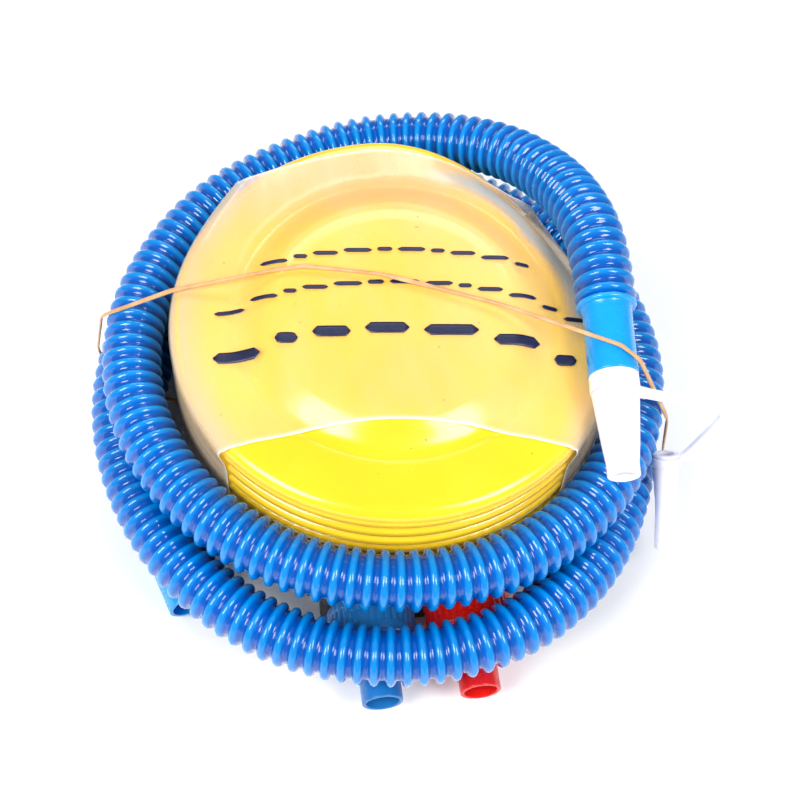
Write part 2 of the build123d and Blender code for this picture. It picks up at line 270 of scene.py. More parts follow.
# ---------------------------------------------------------------- materials
class Shader:
    """A node material with short calls for the nodes used here."""

    def __init__(self, name):
        self.material = bpy.data.materials.new(name)
        self.material.use_nodes = True
        self.tree = self.material.node_tree
        self.principled = self.tree.nodes["Principled BSDF"]

    def node(self, kind, **settings):
        made = self.tree.nodes.new(kind)
        for key, value in settings.items():
            setattr(made, key, value)
        return made

    def link(self, output, target):
        self.tree.links.new(output, target)

    def set(self, **values):
        for key, value in values.items():
            self.principled.inputs[key.replace("_", " ")].default_value = value

    def noise(self, scale, detail=3.0, roughness=0.55, stretch=(1, 1, 1)):
        place = self.node("ShaderNodeTexCoord")
        mapping = self.node("ShaderNodeMapping")
        mapping.inputs["Scale"].default_value = stretch
        texture = self.node("ShaderNodeTexNoise")
        texture.inputs["Scale"].default_value = scale
        texture.inputs["Detail"].default_value = detail
        texture.inputs["Roughness"].default_value = roughness
        self.link(place.outputs["Object"], mapping.inputs["Vector"])
        self.link(mapping.outputs["Vector"], texture.inputs["Vector"])
        return texture.outputs["Fac"]

    def attribute(self, name):
        return self.node("ShaderNodeAttribute", attribute_name=name).outputs["Fac"]

    def ramp(self, factor, stops):
        made = self.node("ShaderNodeValToRGB")
        points = made.color_ramp.elements
        while len(points) < len(stops):
            points.new(0.5)
        for point, (place, colour) in zip(points, stops):
            point.position = place
            point.color = colour
        self.link(factor, made.inputs["Fac"])
        return made.outputs["Color"]

    def mix(self, factor, first, second, blend="MIX"):
        made = self.node("ShaderNodeMix", data_type="RGBA", blend_type=blend)
        for socket, value in ((made.inputs[0], factor), (made.inputs[6], first), (made.inputs[7], second)):
            if isinstance(value, bpy.types.NodeSocket):
                self.link(value, socket)
            else:
                socket.default_value = value
        return made.outputs[2]

    def range(self, value, low, high, out_low, out_high):
        made = self.node("ShaderNodeMapRange")
        for key, number in (("From Min", low), ("From Max", high), ("To Min", out_low), ("To Max", out_high)):
            made.inputs[key].default_value = number
        self.link(value, made.inputs["Value"])
        return made.outputs["Result"]

    def calculate(self, operation, first, second):
        made = self.node("ShaderNodeMath", operation=operation)
        self.link(first, made.inputs[0])
        self.link(second, made.inputs[1])
        return made.outputs[0]

    def add(self, first, second):
        return self.calculate("ADD", first, second)

    def largest(self, first, second):
        return self.calculate("MAXIMUM", first, second)

    def bump(self, height, strength, distance):
        made = self.node("ShaderNodeBump")
        made.inputs["Strength"].default_value = strength
        made.inputs["Distance"].default_value = distance
        self.link(height, made.inputs["Height"])
        self.link(made.outputs["Normal"], self.principled.inputs["Normal"])

    def to(self, output, socket):
        self.link(output, self.principled.inputs[socket])


def grey(value):
    return (value, value, value, 1.0)


def moulded_plastic(name, colour, roughness=0.3, variation=0.12, grain=900, bump=0.08, coat=0.0,
                    subsurface=0.0, specular=0.5):
    """Moulded plastic: slight colour drift, patchy gloss and a fine grain."""
    shader = Shader(name)
    drift = shader.noise(40, 4)
    darker = tuple(c * (1 - variation) for c in colour[:3]) + (1.0,)
    lighter = tuple(min(1.0, c * (1 + variation)) for c in colour[:3]) + (1.0,)
    shader.to(shader.ramp(drift, [(0.3, darker), (0.7, lighter)]), "Base Color")
    patches = shader.noise(120, 5)
    shader.to(shader.range(patches, 0.3, 0.7, roughness * 0.8, roughness * 1.25), "Roughness")
    shader.bump(shader.noise(grain, 2), bump, 0.0001)
    shader.set(Coat_Weight=coat, Coat_Roughness=0.08)
    shader.set(Subsurface_Weight=subsurface, Specular_IOR_Level=specular)
    if subsurface:
        shader.principled.inputs["Subsurface Radius"].default_value = (0.6, 0.8, 1.0)
        shader.principled.inputs["Subsurface Scale"].default_value = 0.004
    return shader.material


def yellow_plastic():
    """Soft glossy PVC: warm patches, tiny dark specks and a gentle orange-peel bump."""
    shader = Shader("yellow_pvc")
    warm = shader.ramp(shader.noise(14, 3), [(0.35, (0.90, 0.52, 0.010, 1)), (0.65, (0.95, 0.60, 0.016, 1))])
    specks = shader.ramp(shader.noise(620, 1, 0.3), [(0.80, grey(1.0)), (0.815, (0.45, 0.28, 0.08, 1))])
    shader.to(shader.mix(1.0, warm, specks, "MULTIPLY"), "Base Color")
    shader.to(shader.range(shader.noise(60, 4), 0.3, 0.7, 0.16, 0.28), "Roughness")
    shader.bump(shader.noise(260, 3), 0.12, 0.0002)
    shader.set(Coat_Weight=0.35, Coat_Roughness=0.12, Subsurface_Weight=0.12)
    shader.principled.inputs["Subsurface Radius"].default_value = (1.0, 0.7, 0.2)
    shader.principled.inputs["Subsurface Scale"].default_value = 0.003
    return shader.material


def hose_plastic():
    """Blown blue polythene: painted shade in the valleys, a painted lighter tone on the rib crests, and a
    slow random drift of tone.
    """
    shader = Shader("hose_blue")
    crest = shader.attribute("crest")
    # Painted shade and light: the colour darkens into the valleys between the ribs and lightens on the
    # crests.
    ribs = shader.ramp(crest, [(0.0, (0, 0.085, 0.42, 1)), (0.3, (0, 0.11, 0.48, 1)),
                               (0.75, (0, 0.165, 0.56, 1)), (1.0, (0, 0.24, 0.66, 1))])
    drift = shader.ramp(shader.noise(18, 3), [(0.3, grey(0.86)), (0.7, grey(1.0))])
    shader.to(shader.mix(1.0, ribs, drift, "MULTIPLY"), "Base Color")
    shader.to(shader.range(shader.noise(90, 4), 0.3, 0.7, 0.07, 0.14), "Roughness")
    shader.bump(shader.noise(500, 2), 0.05, 0.0001)
    shader.set(Coat_Weight=0.3, Coat_Roughness=0.05, Specular_IOR_Level=0.4, Subsurface_Weight=0.08)
    shader.principled.inputs["Subsurface Radius"].default_value = (0.1, 0.6, 1.0)
    shader.principled.inputs["Subsurface Scale"].default_value = 0.002
    return shader.material


def film_plastic():
    """Clear film: uneven peach haze, greyer where painted grey reflection and shade lie (on the crescent by
    the foot pad and where the film turns down the sides), and white cut edges.
    """
    shader = Shader("clear_film")
    streaks = shader.noise(30, 5, 0.6, stretch=(1, 0.35, 1))
    peach = shader.ramp(streaks, [(0.3, (0.86, 0.62, 0.36, 1)), (0.7, (0.95, 0.76, 0.54, 1))])
    # Painted reflection and shade: the film turns grey on the crescent by the foot pad and, about half as
    # much, where it turns down the sides.
    grey_reflection_shade = shader.attribute("grey_reflection_shade")
    edge = shader.attribute("edge")
    tint = shader.mix(grey_reflection_shade, peach, (0.52, 0.55, 0.55, 1))
    shader.to(shader.mix(edge, tint, (0.95, 0.94, 0.92, 1)), "Base Color")
    haze = shader.add(shader.attribute("haze"), shader.range(streaks, 0.3, 0.7, -0.05, 0.06))
    shader.to(shader.largest(haze, shader.range(edge, 0.0, 1.0, 0.0, 0.9)), "Alpha")
    shader.to(shader.range(shader.noise(25, 3), 0.3, 0.7, 0.10, 0.22), "Roughness")
    shader.bump(shader.noise(45, 4, stretch=(1, 0.4, 1)), 0.35, 0.0012)
    return shader.material


def print_ink():
    """Dark navy ink, a little patchy."""
    shader = Shader("print_ink")
    stops = [(0.3, linear_rgb(14, 18, 48)), (0.7, linear_rgb(24, 30, 70))]
    shader.to(shader.ramp(shader.noise(700, 3), stops), "Base Color")
    shader.to(shader.range(shader.noise(300, 2), 0.3, 0.7, 0.35, 0.5), "Roughness")
    return shader.material


def band_rubber():
    """Tan rubber band: fine grain and a dusty sheen."""
    shader = Shader("band_rubber")
    stops = [(0.3, linear_rgb(196, 142, 92)), (0.7, linear_rgb(226, 178, 126))]
    shader.to(shader.ramp(shader.noise(160, 4), stops), "Base Color")
    shader.to(shader.range(shader.noise(240, 3), 0.3, 0.7, 0.4, 0.6), "Roughness")
    shader.bump(shader.noise(1200, 2), 0.3, 0.0001)
    shader.set(Subsurface_Weight=0.1, Sheen_Weight=0.15)
    shader.principled.inputs["Subsurface Scale"].default_value = 0.001
    return shader.material


def spring_steel():
    shader = Shader("spring_wire")
    shader.to(shader.ramp(shader.noise(200, 4), [(0.3, grey(0.42)), (0.7, grey(0.6))]), "Base Color")
    shader.to(shader.range(shader.noise(400, 3), 0.3, 0.7, 0.22, 0.4), "Roughness")
    shader.bump(shader.noise(900, 2, stretch=(1, 1, 8)), 0.15, 0.0001)
    shader.set(Metallic=1.0)
    return shader.material


def matte_rubber():
    shader = Shader("black_rubber")
    shader.to(shader.ramp(shader.noise(150, 5), [(0.3, grey(0.018)), (0.7, grey(0.035))]), "Base Color")
    shader.to(shader.range(shader.noise(80, 4), 0.3, 0.7, 0.55, 0.75), "Roughness")
    shader.bump(shader.noise(1500, 3), 0.35, 0.0001)
    return shader.material


YELLOW = yellow_plastic()
HOSE_BLUE = hose_plastic()
FILM = film_plastic()
INK = print_ink()
BAND = band_rubber()
STEEL = spring_steel()
RUBBER = matte_rubber()
CUFF_BLUE = moulded_plastic("cuff_blue", linear_rgb(0, 150, 232), 0.26, 0.05, 500, 0.06, 0.2, 0.2)
VALVE_BLUE = moulded_plastic("valve_blue", linear_rgb(24, 104, 170), 0.3, 0.1, 900, 0.08)
VALVE_RED = moulded_plastic("valve_red", linear_rgb(208, 22, 18), 0.28, 0.1, 900, 0.08)
WHITE = moulded_plastic("milky_white", linear_rgb(240, 238, 250), 0.32, 0.02, 600, 0.05, 0.1, 0.35)
BLACK = moulded_plastic("black_shell", (0.006, 0.006, 0.007, 1), 0.5, 0.25, 1400, 0.2, specular=0.25)


def paint(piece, material):
    piece.data.materials.clear()
    piece.data.materials.append(material)


# ---------------------------------------------------------------- camera
CAMERA_AZIMUTH = math.radians(-12)
CAMERA_ELEVATION = math.radians(60.05)
CAMERA_ROLL = math.radians(5)
CAMERA_DISTANCE = 0.600
CAMERA_TARGET = Vector((0.0066, 0.0111, 0))
CAMERA_LENS = 70.94           # millimetres, on a 36 mm sensor


def make_camera():
    back = Vector((math.sin(CAMERA_AZIMUTH) * math.cos(CAMERA_ELEVATION),
                   -math.cos(CAMERA_AZIMUTH) * math.cos(CAMERA_ELEVATION),
                   math.sin(CAMERA_ELEVATION)))
    data = bpy.data.cameras.new("camera")
    data.sensor_width = 36
    data.lens = CAMERA_LENS
    data.clip_start = 0.01
    data.clip_end = 20
    camera = bpy.data.objects.new("camera", data)
    bpy.context.scene.collection.objects.link(camera)
    camera.rotation_mode = "QUATERNION"
    camera.location = CAMERA_TARGET + back * CAMERA_DISTANCE
    facing = (-back).to_track_quat("-Z", "Y")
    camera.rotation_quaternion = facing @ Matrix.Rotation(CAMERA_ROLL, 3, "Z").to_quaternion()
    bpy.context.scene.camera = camera


# ---------------------------------------------------------------- hose
# Centreline from the air nozzle's cuff to the pump cuff: angle about +Z in degrees,
# radius and height. It is the CAD part's route, but for five points behind the pump on the
# right, where the hose lies lower on the pump's soft edge, and five at the lower left
# (534 to 624 degrees), where it lies up to 3 mm further out or lower.
HOSE_ROUTE = [
    (-9, 69, 89.5), (4.5, 69.7, 91.7), (21, 73.8, 88.5), (38, 82, 78), (56, 90.5, 66.5),
    (75, 93.8, 57.5), (95, 92.5, 54), (123, 90.6, 53.5), (144, 90, 54), (166, 91.3, 54.5),
    (189, 91.3, 54.5), (212, 89.5, 54), (235, 88.2, 54.5), (258, 88.3, 56), (281, 88.3, 54),
    (304, 88.2, 50.5), (327, 88, 47.5), (350, 88, 44.5), (373, 88, 41.5), (396, 88, 38.5),
    (419, 88, 36), (442, 88, 34), (465, 88.4, 32.8), (488, 90.5, 32.4), (511, 94, 32.4),
    (534, 97.2, 32.8), (557, 99.2, 33.2), (580, 102.2, 33.4), (602, 105.6, 34.5), (624, 106.8, 37),
    (645, 105.6, 37), (666, 99.6, 32), (687, 91.8, 26), (709, 89, 21), (731, 88.2, 17),
    (754, 88, 14), (777, 88, 12), (800, 88.2, 10.9), (823, 89, 10.6), (846, 91, 11.3),
    (869, 93, 12.1), (891, 94, 12.1), (912, 94.3, 11.2), (927, 95, 10.6),
]
HOSE_RADIUS = 10.2
HOSE_ROOT = 8.20              # radius in the valleys between the ribs
RIB_PITCH = 4.95
HOSE_SEGMENTS = 36
RIB_STEPS = (0.0, 0.15, 0.235, 0.35, 0.5, 0.65, 0.765, 0.85)
RIB_HALF_WIDTH = 0.70         # share of half a pitch that the rib takes


def route_point(angle, radius, height):
    turn = math.radians(angle)
    return Vector((radius * math.cos(turn), radius * math.sin(turn), height)) * MM


ROUTE = [route_point(*entry) for entry in HOSE_ROUTE]
AIR_AXIS = (ROUTE[0] - ROUTE[1]).normalized()
PUMP_CUFF_AXIS = (ROUTE[-1] - ROUTE[-2]).normalized()


def rib_height(share):
    """0 in a valley and 1 on a crest, where share runs from 0 to 1 over one pitch."""
    off = abs(share - 0.5) * 2 / RIB_HALF_WIDTH
    return max(0.0, 1 - off ** 2.2) ** 0.8


def make_hose():
    line = curve_points(ROUTE)
    length = path_length(line)
    ribs = round(length / MM / RIB_PITCH)
    pitch = length / ribs
    distances, heights = [], []
    for rib in range(ribs):
        for step in RIB_STEPS:
            distances.append((rib + step) * pitch)
            heights.append(rib_height(step))
    distances.append(length)
    heights.append(0.0)
    path = resample(line, distances)
    radii = [(HOSE_ROOT + (HOSE_RADIUS - HOSE_ROOT) * h) * MM for h in heights]
    tube = sweep_tube("hose_ribbed", path, radii, HOSE_SEGMENTS)
    point_values(tube, "crest", np.repeat(heights, HOSE_SEGMENTS))
    paint(tube, HOSE_BLUE)
    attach(tube, "base")
    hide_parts("hose")
    return tube, line, length


# ---------------------------------------------------------------- cuffs
CUFF_RADIUS = 8.25
CUFF_BORE = 7.0
CUFF_LENGTH = 25.5
CUFF_FLANGE_RADIUS = 10.0
CUFF_FLANGE = 1.6


def make_cuff(name, node, start, direction):
    """Smooth sleeve with a rounded flange, a soft lip and a slight barrel shape."""
    outline = [(CUFF_BORE, 0), (CUFF_FLANGE_RADIUS - 0.5, 0)]
    outline += arc((CUFF_FLANGE_RADIUS - 0.8, 0.8), 0.8, -70, 70, 6)
    outline += [(CUFF_RADIUS + 0.35, CUFF_FLANGE + 0.15), (CUFF_RADIUS + 0.08, CUFF_FLANGE + 0.8)]
    for share in (0.15, 0.3, 0.45, 0.6, 0.75, 0.9):
        outline.append((CUFF_RADIUS - 0.12 * math.sin(math.pi * share), CUFF_LENGTH * share))
    outline += arc((CUFF_RADIUS - 0.4, CUFF_LENGTH - 0.4), 0.4, 0, 90, 4)
    outline += [(CUFF_BORE, CUFF_LENGTH)]
    cuff = lathe(name, outline, axis_frame(start, direction), 64)
    paint(cuff, CUFF_BLUE)
    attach(cuff, "base")
    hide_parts(node)
    return cuff


# ---------------------------------------------------------------- air nozzle, tether and adapter
NOZZLE_START = ROUTE[0] + AIR_AXIS * CUFF_LENGTH * MM
STRAP_BEND = Vector((109, -42, 66)) * MM
ADAPTER_TOP = Vector((90, -45, 42)) * MM
ADAPTER_TIP = Vector((88.3, -69.2, 20)) * MM
ADAPTER_AXIS = (ADAPTER_TIP - ADAPTER_TOP).normalized()
ADAPTER_LENGTH = (ADAPTER_TIP - ADAPTER_TOP).length / MM
STRAP_HALF_WIDTH = 1.8 * MM
STRAP_HALF_THICKNESS = 1.0 * MM
STRAP_CORNER = 0.45 * MM
STRAP_STEPS = 70


def make_nozzle():
    outline = [(5.6, -11), (6.9, -11), (6.95, -0.2), (7.6, 0)]
    outline += arc((7.7, 0.4), 0.4, -90, 0, 3) + arc((7.7, 2.0), 0.4, 0, 90, 3)
    outline += [(6.8, 2.5), (6.8, 5.9)] + arc((7.4, 6.4), 0.4, -90, 0, 3)
    outline += [(7.7, 7.2), (7.25, 12), (6.7, 18), (6.1, 24), (5.45, 29), (5.3, 30)]
    outline += arc((4.9, 34.1), 0.4, 0, 90, 4) + arc((4.3, 34.1), 0.4, 90, 180, 3)
    outline += [(3.9, 30), (5.6, 6)]
    nozzle = lathe("air_nozzle_cone", outline, axis_frame(NOZZLE_START, AIR_AXIS), 72)
    paint(nozzle, WHITE)
    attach(nozzle, "nozzle")
    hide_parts("air_nozzle")
    return nozzle


def make_tether():
    """Ring on the nozzle's neck, flat moulded strap with rounded corners, and the adapter's eye."""
    neck = NOZZLE_START + AIR_AXIS * 4.2 * MM
    reach = STRAP_BEND - neck
    across = (reach - AIR_AXIS * reach.dot(AIR_AXIS)).normalized()
    start = neck + across * 7.3 * MM
    end = ADAPTER_TOP + ADAPTER_AXIS * 1.5 * MM + Vector((5.8, 0, 0)) * MM
    first, second = (STRAP_BEND - start).normalized(), (end - STRAP_BEND).normalized()
    controls = [start, start.lerp(STRAP_BEND, 0.35), start.lerp(STRAP_BEND, 0.7),
                STRAP_BEND - first * 4 * MM, STRAP_BEND + second * 4 * MM,
                STRAP_BEND.lerp(end, 0.35), STRAP_BEND.lerp(end, 0.75), end]
    line = curve_points(controls)
    length = path_length(line)
    path = resample(line, [length * i / STRAP_STEPS for i in range(STRAP_STEPS + 1)])
    normal = first.cross(second).normalized()
    section = []
    for cx, cy, begin in ((1, 1, 0), (-1, 1, 90), (-1, -1, 180), (1, -1, 270)):
        for step in range(4):
            angle = math.radians(begin + step * 30)
            section.append(((STRAP_HALF_THICKNESS - STRAP_CORNER) * cx + STRAP_CORNER * math.cos(angle),
                            (STRAP_HALF_WIDTH - STRAP_CORNER) * cy + STRAP_CORNER * math.sin(angle)))
    points, faces = [], []
    for i, spot in enumerate(path):
        tangent = (path[min(i + 1, STRAP_STEPS)] - path[max(i - 1, 0)]).normalized()
        out = tangent.cross(normal).normalized()
        share = i / STRAP_STEPS
        widen = 1 + 0.25 * smoothstep(0.12, 0.0, share) + 0.2 * smoothstep(0.9, 1.0, share)
        points += [spot + normal * x + out * y * widen for x, y in section]
    size = len(section)
    add_rings(faces, size, len(path))
    faces += [tuple(reversed(range(size))), tuple(range(STRAP_STEPS * size, len(path) * size))]
    strap = new_mesh("tether_strap", points, faces)
    fix_normals(strap)
    ring = [(6.95, 2.65)] + arc((7.75, 3.0), 0.4, -90, 0, 3) + arc((7.75, 5.4), 0.4, 0, 90, 3) + [(6.95, 5.8)]
    neck_ring = lathe("tether_neck_ring", ring, axis_frame(NOZZLE_START, AIR_AXIS), 64)
    eye_outline = [(4.05, 0)] + arc((5.0, 0.4), 0.4, -90, 0, 3) + arc((5.0, 2.6), 0.4, 0, 90, 3) + [(4.05, 3)]
    eye = lathe("tether_eye", eye_outline, axis_frame(ADAPTER_TOP, ADAPTER_AXIS), 48)
    for piece in (strap, neck_ring, eye):
        paint(piece, WHITE)
        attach(piece, "tether")
    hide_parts("nozzle_tether")
    return [strap, neck_ring, eye]


def make_adapter():
    tip = ADAPTER_LENGTH
    outline = [(2.8, -1.2), (4.5, -1.2), (4.8, -0.9), (4.8, -0.3), (4.5, 0), (4.0, 0.1), (4.0, 3.0),
               (4.55, 3.15), (4.6, 3.6), (4.1, 9), (3.55, 15), (3.4, 17)]
    outline += arc((3.1, tip - 0.3), 0.3, 0, 90, 3) + arc((2.6, tip - 0.3), 0.3, 90, 180, 3) + [(2.3, 12)]
    adapter = lathe("adapter_tube", outline, axis_frame(ADAPTER_TOP, ADAPTER_AXIS), 56)
    paint(adapter, WHITE)
    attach(adapter, "tether")
    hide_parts("small_adapter")
    return adapter


# ---------------------------------------------------------------- pump body
def make_top():
    """Glossy cover: crowned foot pad with a crease round it, flat annulus, rolled edge."""
    corner = PUMP_RADIUS - TOP_EDGE
    outer = [(0, DOME_TOP)]
    for radius in (4, 9, 14, 19, 24, 29, 34, 38, 41.5, 44.5, 47, 49, 50.6, 51.8, 52.7, 53.4):
        fall = (radius / DOME_RADIUS) ** 2
        crown = DOME_TOP - 1.4 * fall
        shoulder = smoothstep(38, 54.2, radius) ** 1.25
        outer.append((radius, crown + (PAD_Z - 0.25 - crown) * shoulder))
    outer += [(54.4, PAD_Z - 0.35), (55.4, PAD_Z - 0.12), (57, PAD_Z), (62, PAD_Z), (67, PAD_Z)]
    outer += arc((corner, PAD_Z - TOP_EDGE), TOP_EDGE, 90, 0, 10)
    outer.append((PUMP_RADIUS - 0.4, PAD_Z - TOP_EDGE))
    inner = [(PUMP_RADIUS - 2, PAD_Z - TOP_EDGE)]
    inner += arc((corner, PAD_Z - TOP_EDGE), TOP_EDGE - 2, 0, 90, 5)
    inner += [(55.5, PAD_Z - 2), (50, PAD_Z - 0.6), (44, PAD_Z + 1.8), (34, DOME_TOP - 3), (0, DOME_TOP - 2)]
    top = lathe("yellow_top", outer + inner, segments=192)
    squeeze_mesh(top)
    paint(top, YELLOW)
    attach(top, "top")
    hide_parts("top_shell")
    return top


PLEATS = 7
PLEAT_DEPTH = 5.5


def make_bellows():
    """Pleated tube: round fat crests with narrow grooves between them."""
    low, high = BELLOWS_LOW.z / MM, BELLOWS_HIGH.z / MM
    pitch = (high - low) / PLEATS
    outer = []
    for pleat in range(PLEATS):
        for step in range(16):
            share = step / 16
            off = abs(share - 0.5) * 2
            swell = max(0.0, 1 - off ** 3.2) ** 0.5
            outer.append((PUMP_RADIUS - PLEAT_DEPTH * (1 - swell), low + (pleat + share) * pitch))
    outer.append((PUMP_RADIUS - PLEAT_DEPTH, high))
    inner = [(radius - 1.0, height) for radius, height in reversed(outer)]
    tube = lathe("yellow_bellows", outer + inner, segments=160, sharp_degrees=80)
    squeeze_mesh(tube)
    paint(tube, YELLOW)
    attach(tube, "base")
    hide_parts("bellows")
    squash_under_top(tube)


SPRING_WIRE = 1.3             # radius of the wire
SPRING_RADIUS = 22.0
SPRING_COILS = 5.5
SPRING_STEPS = 260


def make_spring():
    low, high = SPRING_LOW.z / MM, SPRING_HIGH.z / MM
    path = []
    for step in range(SPRING_STEPS + 1):
        share = step / SPRING_STEPS
        angle = 2 * math.pi * SPRING_COILS * share
        rise = low + SPRING_WIRE + (high - low - 2 * SPRING_WIRE) * share
        path.append(Vector((SPRING_RADIUS * math.cos(angle), SPRING_RADIUS * math.sin(angle), rise)) * MM)
    spring = sweep_tube("coil_spring", path, [SPRING_WIRE * MM] * len(path), 12)
    paint(spring, STEEL)
    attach(spring, "base")
    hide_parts("return_spring")
    squash_under_top(spring)


# ---------------------------------------------------------------- valves
VALVE_AXIS_Z = 16.5
VALVE_FACE_Y = -78.0
KNURLS = 36


def make_valve(name, node, material):
    """Knurled cap and tapered nozzle, hollow, with a rolled front rim."""
    low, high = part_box(node)
    middle = (low.x + high.x) / 2
    outline = [(9.6, -8), (11.5, -8), (11.5, 1), (14.6, 1.0), (15, 1.4), (15, 3.2), (14.55, 3.7)]
    outline += [(14.55, 10.4), (15, 10.9), (15, 12.9)]
    outline += arc((13.9, 12.9), 1.1, 0, 90, 5)
    outline += [(12.2, 13.7), (11.6, 13.35), (9.6, 13.3), (9.25, 13.7)]
    outline += [(9.2, 14.4), (8.1, 20), (6.98, 25.8), (6.9, 26.5)]
    outline += [(6.9, 33.6)] + arc((6.5, 34.1), 0.4, 0, 90, 4) + [(5.9, 34.5), (5.6, 34.2)]
    outline += [(5.6, 13), (12.6, 10), (12.6, 4), (9.6, 2)]
    place = Matrix.Translation((middle, VALVE_FACE_Y * MM, VALVE_AXIS_Z * MM))
    place = place @ Matrix.Rotation(math.pi / 2, 4, "X")

    def knurl(angle, height):
        return 0.22 * math.cos(KNURLS * angle) if 3.5 < height < 10.6 else 0.0

    housing = lathe(name, outline, place, 216, 35, knurl)
    paint(housing, material)
    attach(housing, "base")
    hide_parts(node)


# ---------------------------------------------------------------- film sleeve
FILM_TURN = math.radians(-6)
FILM_FRONT_MIDDLE = -43.3      # front edge, which bows back in the middle
FILM_FRONT_BOW = 8.0
FILM_BACK_MIDDLE = 69.5
FILM_BACK_BOW = 14.0
FILM_LOW = 1.6
FILM_TUCK = 14.0
FILM_RIM = PUMP_RADIUS + 0.45
FILM_STRAIGHT_FROM = 32.0      # distance along at which the sides leave the disc's edge
FILM_ROLL = 3.4
TOP_REACH = 0.5                # share across at which the film turns down
SIDE_REACH = 0.92              # share across at which it is tucked under
FILM_ROWS = 64
TOP_COLUMNS = 90
SIDE_COLUMNS = 34
TUCK_COLUMNS = 8


def film_top_height(radius):
    """Height of the film over the pump's top: it bridges the crease round the foot pad."""
    over_pad = DOME_TOP + 0.3 - 1.2 * (min(radius, 50) / DOME_RADIUS) ** 2
    return over_pad + (PAD_Z + 0.35 - over_pad) * smoothstep(40, 59, radius)


def film_half_width(along):
    """Half the sleeve's width on the top: the disc's chord, then a slacker line to the corners."""
    if abs(along) <= FILM_STRAIGHT_FROM:
        return math.sqrt(FILM_RIM ** 2 - along ** 2)
    edge = math.sqrt(FILM_RIM ** 2 - FILM_STRAIGHT_FROM ** 2)
    beyond = abs(along) - FILM_STRAIGHT_FROM
    loose = edge - FILM_STRAIGHT_FROM / edge * beyond - 0.004 * beyond ** 2
    return max(loose, film_chord(along))


def film_chord(along):
    """Half the width of the disc under the film, and no less than 20 mm."""
    return math.sqrt(max(FILM_RIM ** 2 - along ** 2, 400))


def film_ends(bow):
    """Where the front and the back edge lie, for a bow from 0 in the middle to 1 at the sides."""
    return FILM_FRONT_MIDDLE - FILM_FRONT_BOW * bow, FILM_BACK_MIDDLE - FILM_BACK_BOW * bow


def film_spot(across, along_share):
    """Film point for across from -1 (left tuck) to 1 (right tuck), along_share 0 front to 1 back."""
    side = -1 if across < 0 else 1
    reach = abs(across)
    plan = min(1.0, reach / TOP_REACH)
    bow = min(1.0, plan * 1.02) ** 2
    front, back = film_ends(bow)
    along = front + (back - front) * along_share
    half = film_half_width(along)
    chord = film_chord(along)
    turn_in = FILM_ROLL * 0.3
    if reach <= TOP_REACH:
        x = side * (half - turn_in) * plan
        z = film_top_height(math.hypot(x, along))
        drop = smoothstep(0.93, 1.0, plan)
        z -= 1.4 * drop * drop
    elif reach <= SIDE_REACH:
        share = (reach - TOP_REACH) / (SIDE_REACH - TOP_REACH)
        depth = share ** 1.15
        top = film_top_height(math.hypot(half - turn_in, along)) - 1.4
        z = top + (FILM_LOW - top) * depth
        pull = smoothstep(0.0, 0.22, share)
        bulge = 1 - smoothstep(0.0, 0.06, share)
        x = side * (chord + (half - chord) * (1 - pull) - turn_in * bulge)
    else:
        share = (reach - SIDE_REACH) / (1 - SIDE_REACH)
        z = FILM_LOW
        x = side * (chord - FILM_TUCK * share - 0.4)
    turned = Matrix.Rotation(FILM_TURN, 3, "Z") @ Vector((x, along, 0))
    crease = noise.noise(Vector((turned.x / 16, turned.y / 34, z / 20)))
    ripple = noise.noise(Vector((turned.x / 5 + 40, turned.y / 17, z / 9)))
    lift = 0.5 * (crease + 0.35 * ripple + 0.35)
    if reach <= TOP_REACH:
        z += max(0.0, lift) * (0.4 + 1.4 * smoothstep(30, 70, math.hypot(x, along)) * (1 - bow ** 3))
    return squeezed(Vector((turned.x, turned.y, z)) * MM)


def film_haze(spot, column):
    """How milky the film is at a point, and how much painted grey reflection and shade it carries there."""
    radius = math.hypot(spot.x, spot.y) / MM
    off = abs(math.atan2(spot.y, spot.x) - SQUEEZE_MIDDLE)
    at_back = smoothstep(30, 62, spot.y / MM)
    at_rim = smoothstep(0.40, 0.50, abs(column))
    # The crescent by the pad's crease carries painted grey reflection and shade, and is made milkier so that
    # it shows.
    crease = math.exp(-((radius - 57.5 - 4 * math.sin(3 * off)) / 3.2) ** 2)
    crease *= smoothstep(0.85, 0.45, off)
    haze = 0.12 + 0.24 * at_back + 0.16 * at_rim + 0.45 * crease
    if abs(column) > 0.55:
        haze += 0.10
    # The second value is the painted grey reflection and shade: full on that crescent, about half on the
    # turned-down sides.
    return haze, min(1.0, 0.55 * at_rim + crease)


def film_columns():
    down, under = SIDE_REACH - TOP_REACH, 1 - SIDE_REACH
    top = [i / TOP_COLUMNS - TOP_REACH for i in range(TOP_COLUMNS + 1)]
    right = [TOP_REACH + down * (i + 1) / SIDE_COLUMNS for i in range(SIDE_COLUMNS)]
    tuck = [SIDE_REACH + under * (i + 1) / TUCK_COLUMNS for i in range(TUCK_COLUMNS)]
    outer = right + tuck
    return [-value for value in reversed(outer)] + top + outer


